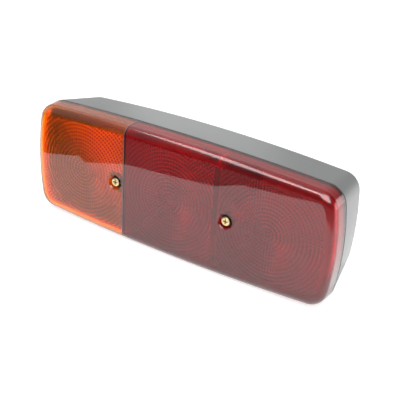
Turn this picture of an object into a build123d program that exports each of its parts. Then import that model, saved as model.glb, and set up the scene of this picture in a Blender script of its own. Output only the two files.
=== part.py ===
from build123d import *
import math
import os

# A rear lamp cluster with three chambers behind one two-colour lens: indicator (amber), stop and tail (red).
# Frame: the flat back face lies on y = 0 and the lens looks along -Y, X runs along the length, Z is up.
# A depth is a distance forward of the back face, so a point at depth d has y = -d.

# Overall form, read at the rim of the housing
LENGTH = 240.0
HEIGHT = 87.6
END_BOW = 4.3
SIDE_BOW = 3.3
CORNER_RADIUS = 12.8
RIM_DEPTH = 44.0

# Housing, a tub that narrows towards the flat back
END_TAPER = 9.0
SIDE_TAPER = 6.7
BACK_END_BOW = 2.1
BACK_SIDE_BOW = 5.1
BACK_CORNER_RADIUS = 12.4
BACK_EDGE_RADIUS = 10.8
BACK_EDGE_LIMIT = 0.9
WALL = 2.5
BACK_WALL = 3.0
RIM_LIP_WALL = 1.6
RIM_LIP_HEIGHT = 4.0
RIM_LIP_CLEARANCE = 0.4
DIVIDER_WALL = 2.2
DIVIDER_GAP = 0.5
STOP_DIVIDER_X = 35.5
WIRE_NOTCH_WIDTH = 11.0
WIRE_NOTCH_DEPTH = 8.0

# Gasket between the rim and the edge of the lens
GASKET_THICKNESS = 1.0
GASKET_INSET = 0.35
GASKET_LIP_CLEARANCE = 0.1

# Lens, a crowned face with a rounded edge and a drafted skirt
LENS_SKIRT = 14.5
LENS_CROWN = 1.6
LENS_DRAFT = 0.7
LENS_EDGE_RADIUS = 6.6
SKIRT_WALL = 2.6
FACE_WALL = 2.5
COLOUR_LINE_X = -38.4

# Optic rings moulded into the inner face, one field for each chamber
RING_PITCH = 2.65
RING_HEIGHT = 0.6
RING_MARGIN = 7.0
RING_DIVIDER_MARGIN = 2.2
RING_WELL_MARGIN = 1.2

# Lens screws, their sunk wells and the pillars that carry them
AMBER_SCREW_X = -45.6
RED_SCREW_X = 44.2
WELL_RADIUS = 5.0
WELL_DEPTH = 3.4
WELL_WALL = 1.0
WELL_FLOOR = 2.4
WELL_MOUTH_CHAMFER = 0.6
WELL_RELIEF = 0.4
LENS_PILLAR_RADIUS = 4.2
PILLAR_RADIUS = 4.8
PILLAR_GAP = 0.3
SCREW_RADIUS = 1.75
SCREW_HEAD_RADIUS = 3.25
SCREW_HEAD_HEIGHT = 2.2
SCREW_HEAD_ROUND = 0.9
SCREW_RECESS_LENGTH = 3.8
SCREW_RECESS_WIDTH = 0.9
SCREW_RECESS_DEPTH = 1.2
SCREW_HOLE_CLEARANCE = 0.25
SEAL_CLEARANCE = 0.9
SEAL_THICKNESS = 0.8
INSERT_RADIUS = 2.9
INSERT_LENGTH = 10.0
INSERT_CLEARANCE = 0.05

# Mounting studs through the back
STUD_SPACING = 152.0
STUD_RADIUS = 3.0
STUD_LENGTH = 22.0
STUD_TIP_CHAMFER = 0.8
STUD_NECK_RADIUS = 3.4
STUD_HOLE_CLEARANCE = 0.1
STUD_HEAD_FLATS = 10.0
STUD_HEAD_HEIGHT = 4.0
STUD_POCKET_CLEARANCE = 0.15
STUD_POCKET_DEPTH = 3.4
STUD_BOSS_WALL = 2.6
STUD_FOOT_CLEARANCE = 1.3

# Cable entry, a grooved rubber grommet in a sunk seat
GROMMET_Z = 13.5
GROMMET_BORE_RADIUS = 3.6
GROMMET_NECK_RADIUS = 6.0
GROMMET_FLANGE_RADIUS = 8.4
GROMMET_FLANGE = 1.3
GROMMET_NOSE_RADIUS = 5.0
GROMMET_NOSE_LENGTH = 3.5
GROMMET_SEAT_DEPTH = 1.5
GROMMET_CLEARANCE = 0.1

# Bulb holders: a bent bracket on two pads, a bayonet socket and an insulated centre contact
AMBER_END_TO_BULB = 43.55
RED_END_TO_BULB = 46.45
BULB_DEPTH = 30.0
WIRE_ROOM = 0.9
BRACKET_SHEET = 1.0
BRACKET_MARGIN = 2.6
BRACKET_TIP = 5.0
BRACKET_BEND = 1.0
BRACKET_FOOT_CORNER = 5.0
PAD_HEIGHT = 3.0
PAD_RADIUS = 4.0
PAD_LOW = 5.0
PAD_HIGH = 13.5
PAD_HOLE_SPARE = 0.4
PAD_SCREW_RADIUS = 1.45
PAD_SCREW_CLEARANCE = 0.1
PAD_SCREW_LENGTH = 5.2
PAD_SCREW_HEAD_RADIUS = 2.8
PAD_SCREW_HEAD = 1.7
PAD_SCREW_HEAD_ROUND = 0.7
SOCKET_WALL = 0.6
SOCKET_CLEARANCE = 0.25
SOCKET_BELOW_SHELF = 6.5
SOCKET_ABOVE_SHELF = 9.5
SOCKET_COLLAR = 1.9
SOCKET_COLLAR_THICKNESS = 0.8
SOCKET_SEAT_CLEARANCE = 0.05
SLOT_CLEARANCE = 0.4
SLOT_TURN = 35.0
INSULATOR_CLEARANCE = 0.1
INSULATOR_THICKNESS = 2.6
INSULATOR_BELOW_SOCKET = 0.6
CONTACT_BUTTON_RADIUS = 2.5
CONTACT_BUTTON_HEIGHT = 1.0
CONTACT_SHANK_RADIUS = 1.5
CONTACT_CLEARANCE = 0.05
BLADE_WIDTH = 6.3
BLADE_THICKNESS = 0.8
BLADE_LENGTH = 13.0

# Bulbs with a bayonet cap
CAP_RADIUS = 7.5
CAP_LENGTH = 15.0
CAP_BUTTON_RADIUS = 2.3
CAP_BUTTON_HEIGHT = 1.5
CAP_ROUND = 1.2
PIN_RADIUS = 0.95
PIN_REACH = 1.35
PIN_HEIGHT = 7.0
GLASS_WALL = 0.8
GLASS_NECK_STEP = 0.7
SIGNAL_GLASS_RADIUS = 12.7
SIGNAL_GLASS_CENTRE = 22.3
TAIL_GLASS_RADIUS = 9.2
TAIL_GLASS_CENTRE = 9.5
GLASS_SHOULDER_RADIUS = 3.0
FILAMENT_WIRE_RADIUS = 0.4
FILAMENT_SPAN = 6.0

# Earth strap that joins the three brackets, with its end turned up as a blade
STRAP_WIDTH = 8.0
STRAP_THICKNESS = 0.8
STRAP_OVERHANG = 6.0
STRAP_NOTCH_CLEARANCE = 1.0
STRAP_BLADE_LENGTH = 11.0

# Room that lets a cut run clear of the solid it opens
CUT = 5.0

# Depths and places worked out from the sizes above
LENS_EDGE_DEPTH = RIM_DEPTH + GASKET_THICKNESS
FACE_EDGE_DEPTH = LENS_EDGE_DEPTH + LENS_SKIRT
FACE_INNER_DEPTH = FACE_EDGE_DEPTH - FACE_WALL
LIP_INSET = SKIRT_WALL + RIM_LIP_CLEARANCE
OPENING_INSET = LIP_INSET + RIM_LIP_WALL
DIVIDER_TOP_DEPTH = FACE_INNER_DEPTH - DIVIDER_GAP
CROWN_RADIUS = ((LENGTH / 2) ** 2 + LENS_CROWN**2) / (2 * LENS_CROWN)
FOOT_DEPTH = BACK_WALL + PAD_HEIGHT
STRAP_DEPTH = FOOT_DEPTH + BRACKET_SHEET
PAD_HOLE_DEPTH = PAD_SCREW_LENGTH - BRACKET_SHEET + PAD_HOLE_SPARE
SEAL_RADIUS = WELL_RADIUS - SEAL_CLEARANCE
STUD_BOSS_RADIUS = STUD_HEAD_FLATS / math.sqrt(3) + STUD_BOSS_WALL
SOCKET_BORE = CAP_RADIUS + SOCKET_CLEARANCE
SOCKET_RADIUS = SOCKET_BORE + SOCKET_WALL
SLOT_WIDTH = 2 * PIN_RADIUS + SLOT_CLEARANCE
BRACKET_WIDTH = 2 * (SOCKET_RADIUS + BRACKET_MARGIN)
BRACKET_FOOT = PAD_HIGH + BRACKET_TIP
GLASS_NECK_RADIUS = CAP_RADIUS - GLASS_NECK_STEP
STOP_X = (COLOUR_LINE_X + STOP_DIVIDER_X) / 2
INDICATOR_X = AMBER_END_TO_BULB - LENGTH / 2
TAIL_X = LENGTH / 2 - RED_END_TO_BULB
DIVIDERS = (COLOUR_LINE_X, STOP_DIVIDER_X)
SCREWS = (AMBER_SCREW_X, RED_SCREW_X)
CHAMBERS = {"indicator": INDICATOR_X, "stop": STOP_X, "tail": TAIL_X}


def outline(depth, half_length, half_height, end_bow, side_bow, corner):
    """A rectangle with bowed sides and rounded corners, on the plane at a depth."""
    x = half_length - end_bow
    z = half_height - side_bow
    sides = [
        ThreePointArc((-x, z), (0, half_height), (x, z)),
        ThreePointArc((x, z), (half_length, 0), (x, -z)),
        ThreePointArc((x, -z), (0, -half_height), (-x, -z)),
        ThreePointArc((-x, -z), (-half_length, 0), (-x, z)),
    ]
    face = make_face(sides)
    return Plane.XZ.offset(depth) * fillet(face.vertices(), corner)


def tub_outline(depth, inset):
    """The housing's section at a depth, drawn in by an inset."""
    back = 1 - depth / RIM_DEPTH
    return outline(
        depth,
        LENGTH / 2 - END_TAPER * back - inset,
        HEIGHT / 2 - SIDE_TAPER * back - inset,
        END_BOW + (BACK_END_BOW - END_BOW) * back,
        SIDE_BOW + (BACK_SIDE_BOW - SIDE_BOW) * back,
        CORNER_RADIUS + (BACK_CORNER_RADIUS - CORNER_RADIUS) * back - inset,
    )


def rim_outline(depth, inset):
    """The rim's own section, carried straight to another depth."""
    return outline(
        depth,
        LENGTH / 2 - inset,
        HEIGHT / 2 - inset,
        END_BOW,
        SIDE_BOW,
        CORNER_RADIUS - inset,
    )


def skirt_outline(depth, inset):
    """The lens's section at a depth, with the skirt's draft."""
    return rim_outline(depth, inset + LENS_DRAFT * (depth - LENS_EDGE_DEPTH) / LENS_SKIRT)


def front_edges(solid):
    """The edges round the face that lies furthest forward."""
    return solid.faces().sort_by(Axis.Y)[0].edges()


def back_edges(solid):
    """The edges round the face that lies furthest back."""
    return solid.faces().sort_by(Axis.Y)[-1].edges()


def rod(x, z, radius, depth, length):
    """A round bar along Y that starts at a depth and runs forward."""
    return Plane.XZ.offset(depth) * Pos(x, z) * extrude(Circle(radius), length)


def slab(x, z, width, height, depth, length):
    """A block whose back lies at a depth and which runs forward."""
    return Plane.XZ.offset(depth) * Pos(x, z) * extrude(Rectangle(width, height), length)


def hexagon(x, z, flats, depth, length):
    """A six-sided bar along Y that starts at a depth and runs forward."""
    section = RegularPolygon(flats / 2, 6, major_radius=False)
    return Plane.XZ.offset(depth) * Pos(x, z) * extrude(section, length)


def turned(points):
    """A solid of revolution about Z from radius and height pairs."""
    return revolve(Plane.XZ * make_face(Polyline(*points, close=True)), Axis.Z)


def facing_forward(solid, x, z, depth):
    """A solid turned about Z, laid down so that its height runs forward from a depth."""
    return Pos(x, -depth, z) * Rot(90, 0, 0) * solid


def lens_cavity(gap):
    """The hollow inside the lens, made smaller all round by a gap."""
    inset = SKIRT_WALL + gap
    top = FACE_INNER_DEPTH - gap
    hollow = loft([skirt_outline(RIM_DEPTH, inset), skirt_outline(top, inset)], ruled=True)
    return fillet(front_edges(hollow), LENS_EDGE_RADIUS - SKIRT_WALL)


def face_depth(x):
    """Depth of the crowned outer face at a place along the length."""
    sag = CROWN_RADIUS - math.sqrt(CROWN_RADIUS**2 - x**2)
    return FACE_EDGE_DEPTH + LENS_CROWN - sag


def well_floor_depth(x):
    return face_depth(x) - WELL_DEPTH


def holder_floor():
    """Height of the lower inner wall at the bulb's depth, at the end of the lamp where it is narrowest."""
    back = 1 - BULB_DEPTH / RIM_DEPTH
    bow = SIDE_BOW + (BACK_SIDE_BOW - SIDE_BOW) * back
    reach = max(abs(INDICATOR_X), abs(TAIL_X)) + BRACKET_WIDTH / 2
    half = HEIGHT / 2 - SIDE_TAPER * back - WALL
    return -(half - bow * (reach / (LENGTH / 2 - END_TAPER * back)) ** 2)


# Heights of the bulb holder, stacked up from the lower wall
BLADE_Z = holder_floor() + WIRE_ROOM
INSULATOR_Z = BLADE_Z + BLADE_THICKNESS
SOCKET_Z = INSULATOR_Z + INSULATOR_BELOW_SOCKET
SHELF_Z = SOCKET_Z + SOCKET_BELOW_SHELF
SOCKET_TOP_Z = SHELF_Z + SOCKET_ABOVE_SHELF
BUTTON_Z = INSULATOR_Z + INSULATOR_THICKNESS
BULB_Z = BUTTON_Z + CONTACT_BUTTON_HEIGHT
PIN_Z = BULB_Z + PIN_HEIGHT
CAP_Z = BULB_Z + CAP_BUTTON_HEIGHT
GLASS_Z = CAP_Z + CAP_LENGTH
PAD_Z = (SHELF_Z + PAD_LOW, SHELF_Z + PAD_HIGH)
STUD_Z = SHELF_Z + BRACKET_FOOT + STUD_FOOT_CLEARANCE + STUD_BOSS_RADIUS
STUDS = ((-STUD_SPACING / 2, STUD_Z), (STUD_SPACING / 2, STUD_Z))


def make_housing():
    """The moulded tub with its rim lip, dividers, pillars, pads, stud pockets and cable seat."""
    outer = loft([tub_outline(0, 0), tub_outline(RIM_DEPTH, 0)], ruled=True)
    edge_radius = min(BACK_EDGE_RADIUS, BACK_EDGE_LIMIT * BACK_CORNER_RADIUS)
    outer = fillet(back_edges(outer), edge_radius)
    lip = extrude(rim_outline(RIM_DEPTH, LIP_INSET), RIM_LIP_HEIGHT)

    top = RIM_DEPTH + RIM_LIP_HEIGHT
    hollow = loft([tub_outline(BACK_WALL, WALL), tub_outline(top + CUT, WALL)], ruled=True)
    hollow = fillet(back_edges(hollow), edge_radius - WALL)
    opening = extrude(rim_outline(0, OPENING_INSET), top + CUT)
    lower_room = hollow & opening
    tub = outer + lip - lower_room

    upper_room = lens_cavity(DIVIDER_GAP)
    for x in DIVIDERS:
        wall = slab(x, 0, DIVIDER_WALL, HEIGHT, BACK_WALL, DIVIDER_TOP_DEPTH - BACK_WALL)
        tub += wall & lower_room
        tub += wall & upper_room
    for x, divider_x in zip(SCREWS, DIVIDERS):
        height = RIM_DEPTH - BACK_WALL
        web = slab((x + divider_x) / 2, 0, abs(x - divider_x), DIVIDER_WALL, BACK_WALL, height)
        tub += rod(x, 0, PILLAR_RADIUS, BACK_WALL, height) + web
    for x in CHAMBERS.values():
        for z in PAD_Z:
            tub += rod(x, z, PAD_RADIUS, BACK_WALL, PAD_HEIGHT)
    for x, z in STUDS:
        tub += rod(x, z, STUD_BOSS_RADIUS, BACK_WALL, STUD_POCKET_DEPTH)

    for x in SCREWS:
        relief_radius = WELL_RADIUS + WELL_WALL + WELL_RELIEF
        relief_depth = well_floor_depth(x) - WELL_FLOOR - WELL_RELIEF
        tub -= rod(x, 0, relief_radius, relief_depth, FACE_EDGE_DEPTH - relief_depth)
        tub -= rod(x, 0, LENS_PILLAR_RADIUS + WELL_RELIEF, RIM_DEPTH, LENS_SKIRT)
        tub -= rod(x, 0, INSERT_RADIUS, RIM_DEPTH - INSERT_LENGTH, INSERT_LENGTH + CUT)
    for x in CHAMBERS.values():
        for z in PAD_Z:
            hole_depth = FOOT_DEPTH - PAD_HOLE_DEPTH
            hole_radius = PAD_SCREW_RADIUS + PAD_SCREW_CLEARANCE
            tub -= rod(x, z, hole_radius, hole_depth, PAD_HOLE_DEPTH + CUT)
    for x, z in STUDS:
        tub -= rod(x, z, STUD_NECK_RADIUS + STUD_HOLE_CLEARANCE, -CUT, BACK_WALL + 2 * CUT)
        tub -= hexagon(x, z, STUD_HEAD_FLATS + 2 * STUD_POCKET_CLEARANCE, BACK_WALL, STUD_HEAD_HEIGHT + CUT)
    for x in DIVIDERS:
        notch = DIVIDER_WALL + 2 * CUT
        strap_room = STRAP_WIDTH + 2 * STRAP_NOTCH_CLEARANCE
        strap_depth = STRAP_THICKNESS + BRACKET_SHEET + STRAP_NOTCH_CLEARANCE
        tub -= slab(x, GROMMET_Z, notch, WIRE_NOTCH_WIDTH, BACK_WALL, WIRE_NOTCH_DEPTH)
        tub -= slab(x, PAD_Z[1], notch, strap_room, FOOT_DEPTH, strap_depth)
    neck_hole = GROMMET_NECK_RADIUS + GROMMET_CLEARANCE
    seat_radius = GROMMET_FLANGE_RADIUS + GROMMET_CLEARANCE
    tub -= rod(STOP_X, GROMMET_Z, neck_hole, -CUT, BACK_WALL + 2 * CUT)
    tub -= rod(STOP_X, GROMMET_Z, seat_radius, -CUT, GROMMET_SEAT_DEPTH + CUT)
    return tub


def make_rings(x, x_from, x_to):
    """Concentric vee rings about one chamber's axis, cut to the outline of that chamber's field."""
    reach = math.hypot(max(x - x_from, x_to - x), HEIGHT / 2)
    count = math.ceil(reach / RING_PITCH)
    points = [(0, 0)]
    for i in range(count):
        points.append((RING_PITCH * (i + 0.5), -RING_HEIGHT))
        points.append((RING_PITCH * (i + 1), 0))
    points.append((RING_PITCH * count, FACE_WALL / 2))
    points.append((0, FACE_WALL / 2))
    disc = facing_forward(turned(points), x, 0, FACE_INNER_DEPTH)
    field = extrude(skirt_outline(FACE_INNER_DEPTH - CUT, RING_MARGIN), 2 * CUT)
    field &= slab((x_from + x_to) / 2, 0, x_to - x_from, HEIGHT, FACE_INNER_DEPTH - CUT, 2 * CUT)
    for well_x in SCREWS:
        bare_radius = WELL_RADIUS + WELL_WALL + RING_WELL_MARGIN
        field -= rod(well_x, 0, bare_radius, FACE_INNER_DEPTH - CUT, 2 * CUT)
    return disc & field


def make_lens():
    """The whole two-colour lens before it is parted at the colour line."""
    far = FACE_EDGE_DEPTH + LENS_CROWN + CUT
    block = loft([skirt_outline(LENS_EDGE_DEPTH, 0), skirt_outline(far, 0)], ruled=True)
    half = LENGTH / 2
    edge = -FACE_EDGE_DEPTH
    crown = [
        ThreePointArc((-half, edge), (0, edge - LENS_CROWN), (half, edge)),
        Polyline((half, edge), (half, 0), (-half, 0), (-half, edge)),
    ]
    block &= extrude(make_face(crown), HEIGHT, both=True)
    block = fillet(front_edges(block), LENS_EDGE_RADIUS)
    lens = block - lens_cavity(0)
    fields = (
        (INDICATOR_X, -LENGTH / 2, COLOUR_LINE_X - RING_DIVIDER_MARGIN),
        (STOP_X, COLOUR_LINE_X + RING_DIVIDER_MARGIN, STOP_DIVIDER_X - RING_DIVIDER_MARGIN),
        (TAIL_X, STOP_DIVIDER_X + RING_DIVIDER_MARGIN, LENGTH / 2),
    )
    for field in fields:
        lens += make_rings(*field)
    for x in SCREWS:
        floor = well_floor_depth(x)
        foot = RIM_DEPTH + PILLAR_GAP
        lens += rod(x, 0, WELL_RADIUS + WELL_WALL, floor - WELL_FLOOR, FACE_EDGE_DEPTH - floor + WELL_FLOOR)
        lens += rod(x, 0, LENS_PILLAR_RADIUS, foot, floor - foot)
        mouth = WELL_RADIUS + WELL_MOUTH_CHAMFER
        well = turned([
            (0, 0),
            (WELL_RADIUS, 0),
            (WELL_RADIUS, WELL_DEPTH - WELL_MOUTH_CHAMFER),
            (mouth, WELL_DEPTH),
            (mouth, WELL_DEPTH + CUT),
            (0, WELL_DEPTH + CUT),
        ])
        lens -= facing_forward(well, x, 0, floor)
        lens -= rod(x, 0, SCREW_RADIUS + SCREW_HOLE_CLEARANCE, foot - CUT, floor - foot + 2 * CUT)
    return lens


def make_gasket():
    """The flat ring of rubber that lies on the rim, outside the lip."""
    ring = rim_outline(RIM_DEPTH, GASKET_INSET) - rim_outline(RIM_DEPTH, LIP_INSET - GASKET_LIP_CLEARANCE)
    return extrude(ring, GASKET_THICKNESS)


def make_lens_screw(x):
    """A pan-head machine screw with a cross recess, seated on its seal."""
    seat = well_floor_depth(x) + SEAL_THICKNESS
    end = RIM_DEPTH - INSERT_LENGTH
    head = rod(x, 0, SCREW_HEAD_RADIUS, seat, SCREW_HEAD_HEIGHT)
    head = fillet(front_edges(head), SCREW_HEAD_ROUND)
    recess = seat + SCREW_HEAD_HEIGHT - SCREW_RECESS_DEPTH
    head -= slab(x, 0, SCREW_RECESS_LENGTH, SCREW_RECESS_WIDTH, recess, SCREW_RECESS_DEPTH + CUT)
    head -= slab(x, 0, SCREW_RECESS_WIDTH, SCREW_RECESS_LENGTH, recess, SCREW_RECESS_DEPTH + CUT)
    return head + rod(x, 0, SCREW_RADIUS, end, seat - end)


def make_seal(x):
    """The washer under a lens screw's head."""
    floor = well_floor_depth(x)
    hole = rod(x, 0, SCREW_RADIUS + INSERT_CLEARANCE, floor - CUT, SEAL_THICKNESS + 2 * CUT)
    return rod(x, 0, SEAL_RADIUS, floor, SEAL_THICKNESS) - hole


def make_insert(x):
    """The brass bush moulded into a pillar."""
    start = RIM_DEPTH - INSERT_LENGTH
    hole = rod(x, 0, SCREW_RADIUS + INSERT_CLEARANCE, start - CUT, INSERT_LENGTH + 2 * CUT)
    return rod(x, 0, INSERT_RADIUS, start, INSERT_LENGTH) - hole


def make_stud(x, z):
    """A hexagon-headed stud with a plain neck in the wall and its thread behind the back face."""
    head = hexagon(x, z, STUD_HEAD_FLATS, BACK_WALL, STUD_HEAD_HEIGHT)
    neck = rod(x, z, STUD_NECK_RADIUS, 0, BACK_WALL)
    thread = rod(x, z, STUD_RADIUS, -STUD_LENGTH, STUD_LENGTH)
    thread = chamfer(back_edges(thread), STUD_TIP_CHAMFER)
    return head + neck + thread


def make_grommet():
    """A turned section: flange in the sunk seat, neck in the wall, inner flange and a tapered nose."""
    seat = GROMMET_SEAT_DEPTH
    inner = BACK_WALL
    nose = inner + GROMMET_FLANGE
    points = [
        (GROMMET_BORE_RADIUS, seat - GROMMET_FLANGE),
        (GROMMET_FLANGE_RADIUS, seat - GROMMET_FLANGE),
        (GROMMET_FLANGE_RADIUS, seat),
        (GROMMET_NECK_RADIUS, seat),
        (GROMMET_NECK_RADIUS, inner),
        (GROMMET_FLANGE_RADIUS, inner),
        (GROMMET_FLANGE_RADIUS, nose),
        (GROMMET_NECK_RADIUS, nose),
        (GROMMET_NOSE_RADIUS, nose + GROMMET_NOSE_LENGTH),
        (GROMMET_BORE_RADIUS, nose + GROMMET_NOSE_LENGTH),
    ]
    return facing_forward(turned(points), STOP_X, GROMMET_Z, 0)


def make_strap():
    """The earth strap under the upper bracket screws, with its tail end turned up as a blade."""
    start = INDICATOR_X - STRAP_OVERHANG
    end = TAIL_X + STRAP_OVERHANG
    z = PAD_Z[1]
    strap = slab((start + end) / 2, z, end - start, STRAP_WIDTH, STRAP_DEPTH, STRAP_THICKNESS)
    blade_x = end - STRAP_THICKNESS / 2
    strap += slab(blade_x, z, STRAP_THICKNESS, BLADE_WIDTH, STRAP_DEPTH, STRAP_BLADE_LENGTH)
    hole = PAD_SCREW_RADIUS + PAD_SCREW_CLEARANCE
    for x in CHAMBERS.values():
        strap -= rod(x, z, hole, STRAP_DEPTH - CUT, STRAP_THICKNESS + 2 * CUT)
    return strap


def make_bracket_screw(x, z, seat):
    """A short pan-head screw that holds a bracket's foot to its pad."""
    head = rod(x, z, PAD_SCREW_HEAD_RADIUS, seat, PAD_SCREW_HEAD)
    head = fillet(front_edges(head), PAD_SCREW_HEAD_ROUND)
    return head + rod(x, z, PAD_SCREW_RADIUS, seat - PAD_SCREW_LENGTH, PAD_SCREW_LENGTH)


def make_bracket(x):
    """A strip bent to an L: the foot stands on the pads, the shelf carries the socket."""
    reach = BULB_DEPTH + BRACKET_WIDTH / 2
    low = SHELF_Z - BRACKET_SHEET
    corners = [
        (-FOOT_DEPTH, low),
        (-reach, low),
        (-reach, SHELF_Z),
        (-FOOT_DEPTH - BRACKET_SHEET, SHELF_Z),
        (-FOOT_DEPTH - BRACKET_SHEET, SHELF_Z + BRACKET_FOOT),
        (-FOOT_DEPTH, SHELF_Z + BRACKET_FOOT),
    ]
    section = make_face(Polyline(*corners, close=True))
    bend = section.vertices().sort_by_distance((-FOOT_DEPTH - BRACKET_SHEET, SHELF_Z))[0]
    section = fillet(bend, BRACKET_BEND)
    heel = section.vertices().sort_by_distance((-FOOT_DEPTH, low))[0]
    section = fillet(heel, BRACKET_BEND + BRACKET_SHEET)
    strip = extrude(Plane.YZ * section, BRACKET_WIDTH / 2, both=True)
    ends = strip.edges().filter_by(Axis.Z).group_by(Axis.Y)[0]
    strip = fillet(ends, BRACKET_WIDTH / 2 - BRACKET_SHEET)
    tips = strip.edges().filter_by(Axis.Y).group_by(Axis.Z)[-1]
    strip = Pos(x, 0, 0) * fillet(tips, BRACKET_FOOT_CORNER)
    strip -= Pos(x, -BULB_DEPTH, SHELF_Z) * Cylinder(SOCKET_RADIUS + SOCKET_SEAT_CLEARANCE, 2 * CUT)
    hole = PAD_SCREW_RADIUS + PAD_SCREW_CLEARANCE
    for z in PAD_Z:
        strip -= rod(x, z, hole, FOOT_DEPTH - CUT, BRACKET_SHEET + 2 * CUT)
    return strip


def make_socket(x):
    """The bayonet sleeve, with its collar on the shelf and two J slots for the pins."""
    collar = SHELF_Z + SOCKET_COLLAR_THICKNESS
    sleeve = turned([
        (SOCKET_BORE, SOCKET_Z),
        (SOCKET_RADIUS, SOCKET_Z),
        (SOCKET_RADIUS, SHELF_Z),
        (SOCKET_RADIUS + SOCKET_COLLAR, SHELF_Z),
        (SOCKET_RADIUS + SOCKET_COLLAR, collar),
        (SOCKET_RADIUS, collar),
        (SOCKET_RADIUS, SOCKET_TOP_Z),
        (SOCKET_BORE, SOCKET_TOP_Z),
    ])
    reach = 2 * SOCKET_RADIUS
    low = PIN_Z - SLOT_WIDTH / 2
    entry_height = SOCKET_TOP_Z + CUT - low
    entry = Pos(reach / 2, 0, low + entry_height / 2) * Box(reach, SLOT_WIDTH, entry_height)
    lead = math.degrees(SLOT_WIDTH / 2 / SOCKET_BORE)
    catch = Pos(reach / 2, PIN_Z) * Rectangle(reach, SLOT_WIDTH)
    turn = Rot(0, 0, -lead) * revolve(Plane.XZ * catch, Axis.Z, SLOT_TURN + lead)
    for start in (0, 180):
        sleeve -= Rot(0, 0, start + SLOT_TURN) * entry
        sleeve -= Rot(0, 0, start) * turn
    return Pos(x, -BULB_DEPTH, 0) * sleeve


def make_insulator(x):
    """The disc that carries the centre contact at the foot of the socket."""
    radius = SOCKET_BORE - INSULATOR_CLEARANCE
    hole = CONTACT_SHANK_RADIUS + CONTACT_CLEARANCE
    top = INSULATOR_Z + INSULATOR_THICKNESS
    disc = turned([(hole, INSULATOR_Z), (radius, INSULATOR_Z), (radius, top), (hole, top)])
    return Pos(x, -BULB_DEPTH, 0) * disc


def make_contact(x):
    """The riveted centre contact, with a button above the disc and a blade below it."""
    pin = turned([
        (0, BLADE_Z),
        (CONTACT_SHANK_RADIUS, BLADE_Z),
        (CONTACT_SHANK_RADIUS, BUTTON_Z),
        (CONTACT_BUTTON_RADIUS, BUTTON_Z),
        (CONTACT_BUTTON_RADIUS, BULB_Z),
        (0, BULB_Z),
    ])
    length = BLADE_LENGTH + BLADE_WIDTH / 2
    middle = BLADE_WIDTH / 2 - length / 2
    blade = Pos(0, middle, BLADE_Z + BLADE_THICKNESS / 2) * Box(BLADE_WIDTH, length, BLADE_THICKNESS)
    return Pos(x, -BULB_DEPTH, 0) * (pin + blade)


def make_cap(x):
    """The bulb's metal cap with its end contact and two side pins."""
    barrel = turned([(0, CAP_Z), (CAP_RADIUS, CAP_Z), (CAP_RADIUS, GLASS_Z), (0, GLASS_Z)])
    rim = barrel.edges().group_by(Axis.Z)[0]
    barrel = fillet(rim, CAP_ROUND)
    barrel += Pos(0, 0, CAP_Z - CAP_BUTTON_HEIGHT / 2) * Cylinder(CAP_BUTTON_RADIUS, CAP_BUTTON_HEIGHT)
    span = 2 * (CAP_RADIUS + PIN_REACH)
    barrel += Pos(0, 0, PIN_Z) * Rot(0, 90, 0) * Cylinder(PIN_RADIUS, span)
    return Pos(x, -BULB_DEPTH, 0) * barrel


def glass_section(radius, centre, inset):
    """Half section of a bulb's glass: a neck that flares through a hollow shoulder into a ball."""
    ball = radius - inset
    neck = GLASS_NECK_RADIUS - inset
    flare = GLASS_SHOULDER_RADIUS + inset
    foot = GLASS_Z + inset
    top = GLASS_Z + centre
    drop = math.sqrt((ball + flare) ** 2 - (neck + flare) ** 2)
    angle = math.atan2(drop, neck + flare)

    def on_flare(turn):
        return (neck + flare - flare * math.cos(turn), top - drop + flare * math.sin(turn))

    def on_ball(turn):
        return (ball * math.cos(turn), top + ball * math.sin(turn))

    return make_face([
        Polyline((0, foot), (neck, foot), (neck, top - drop)),
        ThreePointArc(on_flare(0), on_flare(angle / 2), on_flare(angle)),
        ThreePointArc(on_ball(-angle), on_ball((math.pi / 2 - angle) / 2), on_ball(math.pi / 2)),
        Line((0, top + ball), (0, foot)),
    ])


def make_glass(x, radius, centre):
    """The hollow glass of a bulb, standing on its cap."""
    section = glass_section(radius, centre, 0) - glass_section(radius, centre, GLASS_WALL)
    return Pos(x, -BULB_DEPTH, 0) * revolve(Plane.XZ * section, Axis.Z)


def make_filament(x, centre):
    """Two support wires on the glass foot, with the coil across them at the ball's centre."""
    foot = GLASS_Z + GLASS_WALL
    top = GLASS_Z + centre
    coil = Pos(0, 0, top) * Rot(0, 90, 0) * Cylinder(FILAMENT_WIRE_RADIUS, FILAMENT_SPAN)
    for side in (-1, 1):
        wire_x = side * (FILAMENT_SPAN / 2 - FILAMENT_WIRE_RADIUS)
        coil += Pos(wire_x, 0, (foot + top) / 2) * Cylinder(FILAMENT_WIRE_RADIUS, top - foot)
    return Pos(x, -BULB_DEPTH, 0) * coil


def save(name, shape):
    export_step(shape, f"parts/{name}.step")


def group(solids):
    """Like solids kept apart in one node."""
    return Compound(children=[s.solid() for s in solids])


os.makedirs("parts", exist_ok=True)

lens = make_lens()
amber_room = slab(COLOUR_LINE_X - LENGTH / 2, 0, LENGTH, 2 * HEIGHT, 0, 2 * FACE_EDGE_DEPTH)
save("housing", make_housing())
save("amber_lens", lens & amber_room)
save("red_lens", lens - amber_room)
save("lens_gasket", make_gasket())
save("lens_screws", group([make_lens_screw(x) for x in SCREWS]))
save("screw_seals", group([make_seal(x) for x in SCREWS]))
save("screw_inserts", group([make_insert(x) for x in SCREWS]))
save("mounting_studs", group([make_stud(x, z) for x, z in STUDS]))
save("cable_grommet", make_grommet())
save("earth_strap", make_strap())

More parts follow.
